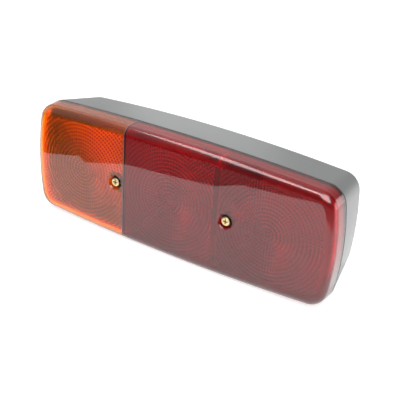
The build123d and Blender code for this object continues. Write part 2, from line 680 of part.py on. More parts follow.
bracket_screws = []
for lamp, lamp_x in CHAMBERS.items():
    glass_radius = TAIL_GLASS_RADIUS if lamp == "tail" else SIGNAL_GLASS_RADIUS
    glass_centre = TAIL_GLASS_CENTRE if lamp == "tail" else SIGNAL_GLASS_CENTRE
    save(f"{lamp}_bracket", make_bracket(lamp_x))
    save(f"{lamp}_socket", make_socket(lamp_x))
    save(f"{lamp}_insulator", make_insulator(lamp_x))
    save(f"{lamp}_contact", make_contact(lamp_x))
    save(f"{lamp}_bulb_cap", make_cap(lamp_x))
    save(f"{lamp}_bulb_glass", make_glass(lamp_x, glass_radius, glass_centre))
    save(f"{lamp}_filament", make_filament(lamp_x, glass_centre))
    bracket_screws.append(make_bracket_screw(lamp_x, PAD_Z[0], STRAP_DEPTH))
    bracket_screws.append(make_bracket_screw(lamp_x, PAD_Z[1], STRAP_DEPTH + STRAP_THICKNESS))
save("bracket_screws", group(bracket_screws))
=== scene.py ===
import functools
import math

import bmesh
import bpy
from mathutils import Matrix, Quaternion, Vector
from mathutils.geometry import delaunay_2d_cdt


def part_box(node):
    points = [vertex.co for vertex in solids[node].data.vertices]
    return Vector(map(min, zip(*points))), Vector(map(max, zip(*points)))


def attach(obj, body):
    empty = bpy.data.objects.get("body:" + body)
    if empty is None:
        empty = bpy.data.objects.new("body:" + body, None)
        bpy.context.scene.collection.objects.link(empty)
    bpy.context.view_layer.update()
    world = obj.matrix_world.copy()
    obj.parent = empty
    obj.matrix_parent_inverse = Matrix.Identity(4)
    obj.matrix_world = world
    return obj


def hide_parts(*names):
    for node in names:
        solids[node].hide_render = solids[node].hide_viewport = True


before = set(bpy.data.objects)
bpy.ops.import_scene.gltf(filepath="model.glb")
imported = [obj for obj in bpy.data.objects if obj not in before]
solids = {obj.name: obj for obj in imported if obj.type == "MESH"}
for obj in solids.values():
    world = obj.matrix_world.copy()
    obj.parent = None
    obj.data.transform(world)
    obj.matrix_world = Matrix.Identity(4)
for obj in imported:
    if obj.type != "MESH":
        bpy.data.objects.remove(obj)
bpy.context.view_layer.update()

# Housing: one dark grey moulding in filled plastic, a bowed tub that narrows to its flat back.
# The tool leaves a fine grain outside. Pale lacquer is sprayed on inside to throw the bulbs' light forward.
# It is darker towards the rim and has painted shade low down and to the left, and the divider between the
# red chambers is left bare.
MM = 0.001
HALF_LENGTH = 120.0 * MM
HALF_HEIGHT = 43.8 * MM
END_BOW = 4.3 * MM
SIDE_BOW = 3.3 * MM
BACK_END_BOW = 2.1 * MM
BACK_SIDE_BOW = 5.1 * MM
END_TAPER = 9.0 * MM
SIDE_TAPER = 6.7 * MM
CORNER_RADIUS = 12.8 * MM
BACK_EDGE_RADIUS = 10.8 * MM
RIM_DEPTH = 44.0 * MM
HALF_WALL = 1.25 * MM
COLOUR_LINE_X = -38.4 * MM
BARE_DIVIDER_X = 35.5 * MM
BARE_HALF_WIDTH = 3.0 * MM
BARE_HALF_HEIGHT = 33.0 * MM
CHAMBER_SPACING = 75.0 * MM
LACQUER_PALE_DEPTH = 14.0 * MM
LACQUER_DARK_DEPTH = 42.0 * MM
# Painted shade on the lacquer: low down and towards the left of each chamber, and over the tail chamber.
LACQUER_SHADE_TOP = 6.0 * MM
LACQUER_SHADE_FULL = -34.0 * MM
LACQUER_SHADE_LEFT = 52.0 * MM
LACQUER_SHADE_RIGHT = 100.0 * MM
TAIL_SHADE = 0.50
AMBER_SHADE_RIGHT = -88.0 * MM
AMBER_SHADE_LEFT = -112.0 * MM
AMBER_SHADE = 0.7
HOUSING_GREY = (0.077, 0.081, 0.080, 1)
HOUSING_WORN_GREY = (0.103, 0.108, 0.106, 1)
HOUSING_CLOUD = 22
HOUSING_ROUGHNESS = (0.28, 0.36)
HOUSING_GRAIN = 1600
HOUSING_GRAIN_DEPTH = 0.04 * MM
LACQUER = (0.95, 0.95, 0.93, 1)
LACQUER_RIMWARD = (0.36, 0.36, 0.35, 1)
LACQUER_SHADED = (0.12, 0.115, 0.11, 1)


def wire(tree, kind, inputs=None, **settings):
    """Adds a node to a tree, sets it up, and joins or fills its inputs."""
    node = tree.nodes.new(kind)
    for key, value in settings.items():
        setattr(node, key, value)
    for place, value in (inputs or {}).items():
        if isinstance(value, bpy.types.NodeSocket):
            tree.links.new(value, node.inputs[place])
        else:
            node.inputs[place].default_value = value
    return node


def calculate(tree, operation, first, second=0.0, third=0.0):
    """One step of arithmetic in a tree."""
    return wire(tree, "ShaderNodeMath", {0: first, 1: second, 2: third}, operation=operation).outputs[0]


def ramp(tree, value, start, end, low=0.0, high=1.0):
    """A number that runs from low to high while another runs from its start to its end."""
    return wire(tree, "ShaderNodeMapRange", {
        "Value": value,
        "From Min": start,
        "From Max": end,
        "To Min": low,
        "To Max": high,
    }).outputs["Result"]


def spread(tree, amount, low, high):
    """A number from 0 to 1 laid out between two others."""
    return ramp(tree, amount, 0.0, 1.0, low, high)


def new_finish(name, **constants):
    """A new material with its tree, its Principled shader and that shader's constant sockets."""
    finish = bpy.data.materials.new(name)
    finish.use_nodes = True
    shader = finish.node_tree.nodes["Principled BSDF"]
    for key, value in constants.items():
        shader.inputs[key.replace("_", " ").title().replace("Ior", "IOR")].default_value = value
    return finish, finish.node_tree, shader


def own_place(tree):
    """The place on a piece in its own coordinates."""
    return wire(tree, "ShaderNodeTexCoord").outputs["Object"]


def own_xyz(tree):
    """The three parts of the place on a piece."""
    return wire(tree, "ShaderNodeSeparateXYZ", {0: own_place(tree)}).outputs


def object_noise(tree, scale, detail=3.0):
    """Noise in the piece's own coordinates, as a number from 0 to 1."""
    noise = wire(tree, "ShaderNodeTexNoise", {"Vector": own_place(tree), "Scale": scale, "Detail": detail})
    return noise.outputs[0]


def blend_colours(tree, amount, low, high):
    """A colour between two, by a number from 0 to 1."""
    mix = wire(tree, "ShaderNodeMix", data_type="RGBA")
    for place, value in (("Factor", amount), ("A", low), ("B", high)):
        socket = next(s for s in mix.inputs if s.name == place and s.enabled)
        if isinstance(value, bpy.types.NodeSocket):
            tree.links.new(value, socket)
        else:
            socket.default_value = value
    return next(s for s in mix.outputs if s.enabled)


def roughen(tree, shader, height, distance):
    """Raises a shader's surface by a height map."""
    bump = wire(tree, "ShaderNodeBump", {"Height": height, "Distance": distance, "Strength": 1.0})
    tree.links.new(bump.outputs["Normal"], shader.inputs["Normal"])


def wall_inset(tree, along, across, back, half, other_half, taper, bow, back_bow):
    """How far a place lies inside one bowed pair of walls that close in towards the back."""
    share = calculate(tree, "DIVIDE", across, other_half)
    sag = calculate(tree, "MULTIPLY_ADD", back, back_bow - bow, bow)
    sag = calculate(tree, "MULTIPLY", sag, calculate(tree, "MULTIPLY", share, share))
    reach = calculate(tree, "SUBTRACT", calculate(tree, "MULTIPLY_ADD", back, -taper, half), sag)
    return calculate(tree, "SUBTRACT", reach, calculate(tree, "ABSOLUTE", along))


def rounded_inset(tree, first, second, radius):
    """How far a place lies inside two walls that meet in a round corner, up to the corner's radius."""
    squares = []
    for inset in (first, second):
        short = calculate(tree, "MAXIMUM", calculate(tree, "SUBTRACT", radius, inset), 0.0)
        squares.append(calculate(tree, "MULTIPLY", short, short))
    return calculate(tree, "SUBTRACT", radius, calculate(tree, "SQRT", calculate(tree, "ADD", *squares)))


def side_inset(tree, x, z, back):
    """How far a place lies inside the four bowed sides, with back running from 0 at the rim to 1."""
    beside = wall_inset(tree, x, z, back, HALF_LENGTH, HALF_HEIGHT, END_TAPER, END_BOW, BACK_END_BOW)
    above = wall_inset(tree, z, x, back, HALF_HEIGHT, HALF_LENGTH, SIDE_TAPER, SIDE_BOW, BACK_SIDE_BOW)
    return rounded_inset(tree, beside, above, CORNER_RADIUS)


def lacquered(tree, x, y, z):
    """One on the housing's inner surfaces, nought outside and on the red chambers' divider."""
    back = calculate(tree, "MULTIPLY_ADD", y, 1 / RIM_DEPTH, 1.0)
    side = side_inset(tree, x, z, back)
    depth = rounded_inset(tree, side, calculate(tree, "MULTIPLY", y, -1.0), BACK_EDGE_RADIUS)
    inside = calculate(tree, "GREATER_THAN", depth, HALF_WALL)
    near = calculate(tree, "COMPARE", x, BARE_DIVIDER_X, BARE_HALF_WIDTH)
    bare = calculate(tree, "MULTIPLY", near, calculate(tree, "COMPARE", z, 0.0, BARE_HALF_HEIGHT))
    return calculate(tree, "MULTIPLY", inside, calculate(tree, "SUBTRACT", 1.0, bare))


def painted_lacquer_shade(tree, x, z):
    """How much painted shade darkens the lacquer: low on the left in the red chambers, low and at the end in
    the amber one.
    """
    low = ramp(tree, z, LACQUER_SHADE_TOP, LACQUER_SHADE_FULL)
    in_tail = calculate(tree, "GREATER_THAN", x, BARE_DIVIDER_X)
    # The stop chamber is moved over the tail chamber, so one ramp serves both. The tail is shaded all over.
    shift = calculate(tree, "MULTIPLY", calculate(tree, "SUBTRACT", 1.0, in_tail), CHAMBER_SPACING)
    left = ramp(tree, calculate(tree, "ADD", x, shift), LACQUER_SHADE_RIGHT, LACQUER_SHADE_LEFT)
    red_shade = calculate(tree, "MULTIPLY", low, left)
    red_shade = calculate(tree, "MULTIPLY", red_shade, calculate(tree, "GREATER_THAN", x, COLOUR_LINE_X))
    red_shade = calculate(tree, "MAXIMUM", red_shade, calculate(tree, "MULTIPLY", in_tail, TAIL_SHADE))
    amber_shade = calculate(tree, "MAXIMUM", low, ramp(tree, x, AMBER_SHADE_RIGHT, AMBER_SHADE_LEFT))
    amber_shade = calculate(tree, "MULTIPLY", amber_shade, calculate(tree, "LESS_THAN", x, COLOUR_LINE_X))
    return calculate(tree, "MAXIMUM", red_shade, calculate(tree, "MULTIPLY", amber_shade, AMBER_SHADE))


def moulded_grey_plastic():
    """Grained grey plastic outside, and lacquer inside."""
    finish, tree, shader = new_finish("moulded_grey_plastic")
    cloud = object_noise(tree, HOUSING_CLOUD)
    grey = blend_colours(tree, cloud, HOUSING_GREY, HOUSING_WORN_GREY)
    x, y, z = own_xyz(tree)
    # The lacquer runs from pale at the back to darker towards the rim.
    pale = blend_colours(tree, ramp(tree, y, -LACQUER_PALE_DEPTH, -LACQUER_DARK_DEPTH), LACQUER, LACQUER_RIMWARD)
    # Painted shade darkens the lacquer low down and towards the left.
    pale = blend_colours(tree, painted_lacquer_shade(tree, x, z), pale, LACQUER_SHADED)
    tree.links.new(blend_colours(tree, lacquered(tree, x, y, z), grey, pale), shader.inputs["Base Color"])
    tree.links.new(spread(tree, cloud, *HOUSING_ROUGHNESS), shader.inputs["Roughness"])
    roughen(tree, shader, object_noise(tree, HOUSING_GRAIN), HOUSING_GRAIN_DEPTH)
    return finish


def dress(node, finish):
    """Gives a solid from the frame its finish."""
    mesh = solids[node].data
    mesh.materials.clear()
    mesh.materials.append(finish)


dress("housing", moulded_grey_plastic())

# Bulb holders: brackets bent from plated strip, bayonet sleeves, laminate contact discs and brass contacts.
# Each bracket is screwed to two pads on the housing floor and carries its socket. A brass strap earths them.
# The brass bushes pressed into the housing's pillars take the lens screws.
CHAMBERS = ("indicator", "stop", "tail")
STEEL_DULL = (0.36, 0.365, 0.37, 1)
STEEL_BRIGHT = (0.52, 0.525, 0.53, 1)
STEEL_CLOUD = 260
STEEL_ROUGHNESS = (0.30, 0.46)
STEEL_GRAIN = 2400
BRASS_DULL = (0.58, 0.40, 0.14, 1)
BRASS_BRIGHT = (0.76, 0.57, 0.26, 1)
BRASS_CLOUD = 320
BRASS_ROUGHNESS = (0.2, 0.36)
BRASS_GRAIN = 2600
METAL_GRAIN_DEPTH = 0.01 * MM
LAMINATE_DARK = (0.16, 0.07, 0.03, 1)
LAMINATE_PALE = (0.28, 0.13, 0.06, 1)
LAMINATE_ROUGHNESS = 0.6
FIBRE = 900
FIBRE_DETAIL = 6.0
FIBRE_DEPTH = 0.03 * MM


def worked_metal(name, dull, bright, cloud_scale, roughness, grain):
    """Sheet or drawn metal, clouded from handling and with the fine grain of the tools."""
    finish, tree, shader = new_finish(name, metallic=1.0)
    cloud = object_noise(tree, cloud_scale)
    tree.links.new(blend_colours(tree, cloud, dull, bright), shader.inputs["Base Color"])
    tree.links.new(spread(tree, cloud, *roughness), shader.inputs["Roughness"])
    roughen(tree, shader, object_noise(tree, grain), METAL_GRAIN_DEPTH)
    return finish


def pressed_laminate():
    """Brown board pressed from paper and resin, with its fibre showing."""
    finish, tree, shader = new_finish("pressed_laminate", roughness=LAMINATE_ROUGHNESS)
    fibre = object_noise(tree, FIBRE, FIBRE_DETAIL)
    tree.links.new(blend_colours(tree, fibre, LAMINATE_DARK, LAMINATE_PALE), shader.inputs["Base Color"])
    roughen(tree, shader, fibre, FIBRE_DEPTH)
    return finish


steel = worked_metal("plated_steel", STEEL_DULL, STEEL_BRIGHT, STEEL_CLOUD, STEEL_ROUGHNESS, STEEL_GRAIN)
laminate = pressed_laminate()
brass = worked_metal("drawn_brass", BRASS_DULL, BRASS_BRIGHT, BRASS_CLOUD, BRASS_ROUGHNESS, BRASS_GRAIN)
for chamber in CHAMBERS:
    dress(f"{chamber}_bracket", steel)
    dress(f"{chamber}_socket", steel)
    dress(f"{chamber}_insulator", laminate)
    dress(f"{chamber}_contact", brass)
    dress(f"{chamber}_bulb_cap", brass)
dress("earth_strap", brass)
dress("bracket_screws", steel)
dress("screw_inserts", brass)

# Bulbs: clear blown glass cemented to the brass caps, which twist into the sockets.
# The filament is drawn wire held on two support wires inside the glass.
GLASS_TINT = (0.96, 0.97, 0.97, 1)
GLASS_IOR = 1.45
GLASS_CLOUD = 120
GLASS_ROUGHNESS = (0.01, 0.05)
WIRE_DARK = (0.28, 0.28, 0.29, 1)
WIRE_PALE = (0.42, 0.42, 0.43, 1)
WIRE_CLOUD = 1500
WIRE_ROUGHNESS = 0.45


def blown_glass():
    """Clear glass, not quite evenly smooth."""
    finish, tree, shader = new_finish(
        "blown_glass", transmission_weight=1.0, ior=GLASS_IOR, base_color=GLASS_TINT
    )
    cloud = object_noise(tree, GLASS_CLOUD)
    tree.links.new(spread(tree, cloud, *GLASS_ROUGHNESS), shader.inputs["Roughness"])
    return finish


def drawn_wire():
    """Dull grey wire, unevenly darkened."""
    finish, tree, shader = new_finish("drawn_wire", metallic=1.0, roughness=WIRE_ROUGHNESS)
    colour = blend_colours(tree, object_noise(tree, WIRE_CLOUD), WIRE_DARK, WIRE_PALE)
    tree.links.new(colour, shader.inputs["Base Color"])
    return finish


glass = blown_glass()
filament_wire = drawn_wire()
for chamber in CHAMBERS:
    dress(f"{chamber}_bulb_glass", glass)
    dress(f"{chamber}_filament", filament_wire)

# Mounting studs: plated steel, hexagon heads held in pockets in the housing, plain necks in its back wall.
# The thread is rolled, so it runs out short of the neck and stops at the chamfered tip.
STUD_SPACING = 152.0 * MM
THREAD_RADIUS = 3.0 * MM
THREAD_DEPTH = 0.6 * MM
THREAD_PITCH = 1.0 * MM
THREAD_FOOT_Y = -0.6 * MM
THREAD_TIP_Y = 22.0 * MM
THREAD_RUNOUT = 1.0 * MM
THREAD_CREST = 1.25
TIP_CHAMFER = 0.8 * MM
THREAD_STEPS = 40
THREAD_ROWS = 240
MERGE_DISTANCE = 0.001 * MM
FACE_SLACK = 0.01 * MM
SHARP_ANGLE = math.radians(32)


def new_geometry_tree(name, sizes, material):
    """A new geometry tree with named inputs for its sizes and its material, and those inputs."""
    tree = bpy.data.node_groups.new(name, "GeometryNodeTree")
    tree.interface.new_socket("Geometry", in_out="OUTPUT", socket_type="NodeSocketGeometry")
    tree.interface.new_socket("Geometry", in_out="INPUT", socket_type="NodeSocketGeometry")
    for size in sizes:
        tree.interface.new_socket(size, in_out="INPUT", socket_type="NodeSocketFloat")
    tree.interface.new_socket(material, in_out="INPUT", socket_type="NodeSocketMaterial")
    return tree, wire(tree, "NodeGroupInput").outputs


def mesh_xyz(tree):
    """The three parts of a corner's place in a geometry tree."""
    place = wire(tree, "GeometryNodeInputPosition").outputs[0]
    return wire(tree, "ShaderNodeSeparateXYZ", {0: place}).outputs


def close_tree(tree, shape, material):
    """Ends a geometry tree with real faces in one material."""
    whole = wire(tree, "GeometryNodeRealizeInstances", {"Geometry": shape})
    dressed = wire(tree, "GeometryNodeSetMaterial", {0: whole.outputs[0], "Material": material})
    wire(tree, "NodeGroupOutput", {"Geometry": dressed.outputs[0]})


def run_tree(piece, tree, values):
    """Runs a geometry tree on a piece and keeps what it makes as the piece's plain mesh."""
    modifier = piece.modifiers.new(tree.name, "NODES")
    modifier.node_group = tree
    for socket in tree.interface.items_tree:
        if socket.in_out == "INPUT" and socket.name in values:
            modifier[socket.identifier] = values[socket.name]
    graph = bpy.context.evaluated_depsgraph_get()
    made = bpy.data.meshes.new_from_object(piece.evaluated_get(graph), depsgraph=graph)
    piece.modifiers.remove(modifier)
    piece.data = made


def new_piece(name, mesh):
    """Puts a mesh into the scene as a piece at the origin."""
    piece = bpy.data.objects.new(name, mesh)
    bpy.context.scene.collection.objects.link(piece)
    return piece


def smooth(piece):
    """Rounds a piece's shading and keeps its true edges sharp."""
    piece.data.shade_smooth()
    piece.data.set_sharp_from_angle(angle=SHARP_ANGLE)


def thread_tree():
    """Geometry nodes that wrap a grid into a threaded rod with closed ends and set one on each neck."""
    sizes = ("Radius", "Depth", "Pitch", "Foot", "Tip", "Chamfer", "Spacing", "Height")
    tree, given = new_geometry_tree("stud_threads", sizes, "Metal")
    do = functools.partial(calculate, tree)

    def held(value):
        """A number kept between 0 and 1."""
        return do("MINIMUM", do("MAXIMUM", value, 0.0), 1.0)

    grid = wire(tree, "GeometryNodeMeshGrid", {
        "Size X": 1.0,
        "Size Y": 1.0,
        "Vertices X": THREAD_STEPS + 1,
        "Vertices Y": THREAD_ROWS,
    })
    place = mesh_xyz(tree)
    turn = do("ADD", place["X"], 0.5)
    row = do("MULTIPLY", do("ADD", place["Y"], 0.5), THREAD_ROWS - 1)
    # The first and the last row close the ends, so the rod runs over the rows between them.
    share = held(do("DIVIDE", do("SUBTRACT", row, 1.0), THREAD_ROWS - 3))
    y = do("ADD", given["Foot"], do("MULTIPLY", share, do("SUBTRACT", given["Tip"], given["Foot"])))
    phase = do("FRACT", do("SUBTRACT", do("DIVIDE", y, given["Pitch"]), turn))
    ridge = do("SUBTRACT", 1.0, do("ABSOLUTE", do("SUBTRACT", do("MULTIPLY", phase, 2.0), 1.0)))
    ridge = held(do("MULTIPLY", ridge, THREAD_CREST))
    ridge = do("MULTIPLY", ridge, held(do("DIVIDE", do("SUBTRACT", y, THREAD_RUNOUT), THREAD_RUNOUT)))
    radius = do("SUBTRACT", given["Radius"], do("MULTIPLY", given["Depth"], do("SUBTRACT", 1.0, ridge)))
    point = do("SUBTRACT", do("ADD", given["Radius"], do("SUBTRACT", given["Tip"], y)), given["Chamfer"])
    radius = do("MINIMUM", radius, point)
    inner_row = do("MULTIPLY", do("GREATER_THAN", row, 0.5), do("LESS_THAN", row, THREAD_ROWS - 1.5))
    radius = do("MULTIPLY", radius, inner_row)
    angle = do("MULTIPLY", turn, -math.tau)
    wrapped = wire(tree, "ShaderNodeCombineXYZ", {
        "X": do("MULTIPLY", radius, do("COSINE", angle)),
        "Y": y,
        "Z": do("MULTIPLY", radius, do("SINE", angle)),
    })
    rod = wire(tree, "GeometryNodeSetPosition", {
        "Geometry": grid.outputs["Mesh"],
        "Position": wrapped.outputs[0],
    })
    rod = wire(tree, "GeometryNodeMergeByDistance", {"Geometry": rod.outputs[0], "Distance": MERGE_DISTANCE})
    first = wire(tree, "ShaderNodeCombineXYZ", {
        "X": do("MULTIPLY", given["Spacing"], -0.5),
        "Y": 0.0,
        "Z": given["Height"],
    })
    stride = wire(tree, "ShaderNodeCombineXYZ", {"X": given["Spacing"]})
    necks = wire(tree, "GeometryNodeMeshLine", {
        "Count": 2,
        "Start Location": first.outputs[0],
        "Offset": stride.outputs[0],
    })
    rods = wire(tree, "GeometryNodeInstanceOnPoints", {
        "Points": necks.outputs[0],
        "Instance": rod.outputs[0],
    })
    studs = wire(tree, "GeometryNodeJoinGeometry", {"Geometry": given["Geometry"]})
    tree.links.new(rods.outputs[0], studs.inputs["Geometry"])
    close_tree(tree, studs.outputs[0], given["Metal"])
    return tree


def make_studs():
    """The studs' heads and necks, closed at the back face, with threaded rods in place of the plain ones."""
    shape = bmesh.new()
    shape.from_mesh(solids["mounting_studs"].data)
    bmesh.ops.remove_doubles(shape, verts=shape.verts, dist=MERGE_DISTANCE)
    plain = [face for face in shape.faces if max(corner.co.y for corner in face.verts) > FACE_SLACK]
    bmesh.ops.delete(shape, geom=plain, context="FACES")
    bmesh.ops.holes_fill(shape, edges=[edge for edge in shape.edges if edge.is_boundary], sides=0)
    mesh = bpy.data.meshes.new("threaded_studs")
    shape.to_mesh(mesh)
    shape.free()
    piece = new_piece("threaded_studs", mesh)
    low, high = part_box("mounting_studs")
    run_tree(piece, thread_tree(), {
        "Radius": THREAD_RADIUS,
        "Depth": THREAD_DEPTH,
        "Pitch": THREAD_PITCH,
        "Foot": THREAD_FOOT_Y,
        "Tip": THREAD_TIP_Y,
        "Chamfer": TIP_CHAMFER,
        "Spacing": STUD_SPACING,
        "Height": (low[2] + high[2]) / 2,
        "Metal": steel,
    })
    smooth(piece)
    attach(piece, "root")
    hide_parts("mounting_studs")


make_studs()

# Cable grommet, lens gasket and screw washers: moulded black rubber with a faint pale bloom.
# The grommet is snapped into its sunk seat in the back, and the gasket lies in the seam under the lens.
# The washers lie in the wells under the screw heads.
RUBBER_BLACK = (0.014, 0.014, 0.014, 1)
RUBBER_BLOOM = (0.034, 0.034, 0.033, 1)
RUBBER_SHINE = 0.2
RUBBER_CLOUD = 180
RUBBER_ROUGHNESS = (0.6, 0.8)
RUBBER_GRAIN = 2200
RUBBER_GRAIN_DEPTH = 0.03 * MM


def black_rubber():
    """Dull black rubber, paler where the bloom has come out."""
    finish, tree, shader = new_finish("black_rubber", specular_ior_level=RUBBER_SHINE)
    bloom = object_noise(tree, RUBBER_CLOUD)
    tree.links.new(blend_colours(tree, bloom, RUBBER_BLACK, RUBBER_BLOOM), shader.inputs["Base Color"])
    tree.links.new(spread(tree, bloom, *RUBBER_ROUGHNESS), shader.inputs["Roughness"])
    roughen(tree, shader, object_noise(tree, RUBBER_GRAIN), RUBBER_GRAIN_DEPTH)
    return finish


rubber = black_rubber()
dress("cable_grommet", rubber)
dress("lens_gasket", rubber)
dress("screw_seals", rubber)

# Lens: two clear plastics, amber and red, moulded one after the other and joined at the colour line.
# The outside is polished, duller round the edge. The inside carries rings of small pillows about each bulb's
# axis, which break up its light. The amber has gone hazy, most of all towards the top of the colour line.
INNER_FACE_Y = -57.0 * MM
RING_HEIGHT = 0.6 * MM
RING_PITCH = 2.65 * MM
RING_LAND = 0.2 * MM
PILLOW_WIDTH = 2.08 * MM
PILLOW_HEIGHT = 0.35 * MM
PILLOW_STEPS = 5
FIELD_INSET = 7.34 * MM
FIELD_CLEARANCE = 0.3 * MM
DIVIDERS = (COLOUR_LINE_X, BARE_DIVIDER_X)
DIVIDER_MARGIN = 2.2 * MM
WELLS = (-45.6 * MM, 44.2 * MM)
WELL_MARGIN_RADIUS = 7.2 * MM
LENS_CHAMBERS = {"amber_lens": ("indicator",), "red_lens": ("stop", "tail")}
NET_INSIDE_BORDER = 1
NET_MERGE = 1e-7
AMBER = (1.0, 0.31, 0.010, 1)
DEEP_AMBER = (0.52, 0.010, 0.0005, 1)
RED = (0.92, 0.022, 0.042, 1)
DEEP_RED = (0.60, 0.009, 0.018, 1)
LENS_IOR = 1.52
LENS_DENSITY = 50
LENS_COAT = 0.5
LENS_COAT_ROUGHNESS = 0.02
LENS_RIPPLE = 24
LENS_RIPPLE_DETAIL = 1.0
LENS_RIPPLE_DEPTH = 0.1 * MM
FACE_ROUGHNESS = 0.03
EDGE_ROUGHNESS = 0.20
DULL_INSET = 4.0 * MM
POLISHED_INSET = 7.0 * MM
PLAIN_CLEARNESS = 0.98
AMBER_CLEARNESS = 0.92
AMBER_HAZE = 0.82
RED_CLEARNESS = 0.93
RED_HAZE = 0.0
HAZE_X = -78.0 * MM
HAZE_START = 0.0
HAZE_FULL = 42.0 * MM
# Painted shade on the lens where the bare divider shows through it:
STRIP_X = 34.7 * MM
STRIP_HALF_WIDTH = 1.9 * MM
STRIP_HALF_HEIGHT = 35.0 * MM
STRIP_OUTER_Y = -58.0 * MM
STRIP_FOOT = 0.4
DIVIDER_SHADE_RED = (0.012, 0.001, 0.001, 1)
WELD_HALF_WIDTH = 0.06 * MM
WELD = (0.42, 0.27, 0.27, 1)


def edge_distance(x, z):
    """How far a place lies inside the lens's outline."""
    beside = HALF_LENGTH - END_BOW * (z / HALF_HEIGHT) ** 2 - abs(x)
    above = HALF_HEIGHT - SIDE_BOW * (x / HALF_LENGTH) ** 2 - abs(z)
    if beside < CORNER_RADIUS and above < CORNER_RADIUS:
        return CORNER_RADIUS - math.hypot(CORNER_RADIUS - beside, CORNER_RADIUS - above)
    return min(beside, above)


def in_field(x, z):
    """True where the pillows may stand: clear of the edge, the dividers and the screw wells."""
    clear = edge_distance(x, z) > FIELD_INSET + FIELD_CLEARANCE
    clear = clear and all(abs(x - wall) > DIVIDER_MARGIN + FIELD_CLEARANCE for wall in DIVIDERS)
    return clear and all(math.hypot(x - well, z) > WELL_MARGIN_RADIUS + FIELD_CLEARANCE for well in WELLS)


def same_chamber(x, axis_x):
    """True if no divider stands between two places along the length."""
    return all((x < wall) == (axis_x < wall) for wall in DIVIDERS)


def pillow_count(ring):
    """How many pillows one ring holds."""
    return max(1, round(math.tau * (ring + 0.5) * RING_PITCH / PILLOW_WIDTH))


def pillow_points(axis_x):
    """Places on the inner face that follow the borders and the middles of the pillows of one chamber."""
    points = []
    width = RING_PITCH - 2 * RING_LAND
    for ring in range(math.ceil(HALF_LENGTH / RING_PITCH)):
        around = pillow_count(ring) * PILLOW_STEPS
        for step in range(PILLOW_STEPS + 1):
            radius = ring * RING_PITCH + RING_LAND + width * step / PILLOW_STEPS
            for turn in range(around):
                angle = math.tau * turn / around
                x = axis_x + radius * math.cos(angle)
                z = radius * math.sin(angle)
                if same_chamber(x, axis_x) and in_field(x, z):
                    points.append(Vector((x, z)))
    return points


def ring_faces(shape, axis_x):
    """The faces of one chamber's plain rings, gathered outwards from its optic axis."""
    axis = Vector((axis_x, INNER_FACE_Y, 0))

    def on_rings(face):
        """True if a face stands up from the inner face and no higher than a ring."""
        low = min(corner.co.y for corner in face.verts) - INNER_FACE_Y
        high = max(corner.co.y for corner in face.verts) - INNER_FACE_Y
        return low > -FACE_SLACK and FACE_SLACK < high < RING_HEIGHT + FACE_SLACK

    candidates = [face for face in shape.faces if on_rings(face)]
    start = min(candidates, key=lambda face: (face.calc_center_median() - axis).length)
    waiting = set(candidates) - {start}
    found = [start]
    # The list grows while it is walked.
    for reached in found:
        for edge in reached.edges:
            for face in edge.link_faces:
                if face in waiting:
                    waiting.remove(face)
                    found.append(face)
    return found


def lay_field(shape, axis_x, mask, axis_layer):
    """Takes out one chamber's plain rings and lays a fine flat net there, ready for the pillows."""
    rings = ring_faces(shape, axis_x)
    taken = set(rings)
    border = [edge for face in rings for edge in face.edges if not taken.issuperset(edge.link_faces)]
    bmesh.ops.delete(shape, geom=rings, context="FACES")
    rim = list(dict.fromkeys(corner for edge in border for corner in edge.verts))
    place = {corner: i for i, corner in enumerate(rim)}
    points = [Vector((corner.co.x, corner.co.z)) for corner in rim] + pillow_points(axis_x)
    edges = [(place[edge.verts[0]], place[edge.verts[1]]) for edge in border]
    net, _, triangles, origins, _, _ = delaunay_2d_cdt(points, edges, [], NET_INSIDE_BORDER, NET_MERGE)
    corners = []
    for point, origin in zip(net, origins):
        on_rim = [i for i in origin if i < len(rim)]
        if on_rim:
            corners.append(rim[on_rim[0]])
            continue
        corner = shape.verts.new((point.x, INNER_FACE_Y, point.y))
        corner[mask] = 1.0
        corner[axis_layer] = axis_x
        corners.append(corner)
    for triangle in triangles:
        shape.faces.new([corners[i] for i in reversed(triangle)])


def pillow_tree():
    """Geometry nodes that raise a pillow wherever a ring crosses a sector of the optic field."""
    sizes = ("Ring Pitch", "Ring Land", "Pillow Width", "Pillow Height")
    tree, given = new_geometry_tree("pillow_optics", sizes, "Plastic")
    do = functools.partial(calculate, tree)

    def stored(name):
        """A number kept on each corner of the mesh."""
        return wire(tree, "GeometryNodeInputNamedAttribute", {"Name": name}, data_type="FLOAT").outputs[0]

    def dome(share):
        """Nought at both borders and one in the middle."""
        return do("MAXIMUM", do("MULTIPLY", do("MULTIPLY", do("SUBTRACT", 1.0, share), share), 4.0), 0.0)

    place = mesh_xyz(tree)
    x = do("SUBTRACT", place["X"], stored("optic_axis"))
    z = place["Z"]
    radius = do("SQRT", do("ADD", do("MULTIPLY", x, x), do("MULTIPLY", z, z)))
    rings = do("DIVIDE", radius, given["Ring Pitch"])
    girth = do("MULTIPLY", do("MULTIPLY", do("ADD", do("FLOOR", rings), 0.5), given["Ring Pitch"]), math.tau)
    count = do("MAXIMUM", do("ROUND", do("DIVIDE", girth, given["Pillow Width"])), 1.0)
    turn = do("DIVIDE", do("ARCTAN2", z, x), math.tau)
    sector = do("FRACT", do("ADD", do("MULTIPLY", turn, count), count))
    land = do("DIVIDE", given["Ring Land"], given["Ring Pitch"])
    step = do("SUBTRACT", do("FRACT", rings), land)
    across = do("DIVIDE", step, do("SUBTRACT", 1.0, do("MULTIPLY", land, 2.0)))
    raised = do("MULTIPLY", do("MULTIPLY", dome(across), dome(sector)), stored("optic_field"))
    lift = wire(tree, "ShaderNodeCombineXYZ", {"Y": do("MULTIPLY", raised, given["Pillow Height"])})
    moved = wire(tree, "GeometryNodeSetPosition", {"Geometry": given["Geometry"], "Offset": lift.outputs[0]})
    kept = wire(tree, "GeometryNodeStoreNamedAttribute", {
        0: moved.outputs[0],
        "Name": "pillow",
        "Value": raised,
    })
    close_tree(tree, kept.outputs[0], given["Plastic"])
    return tree


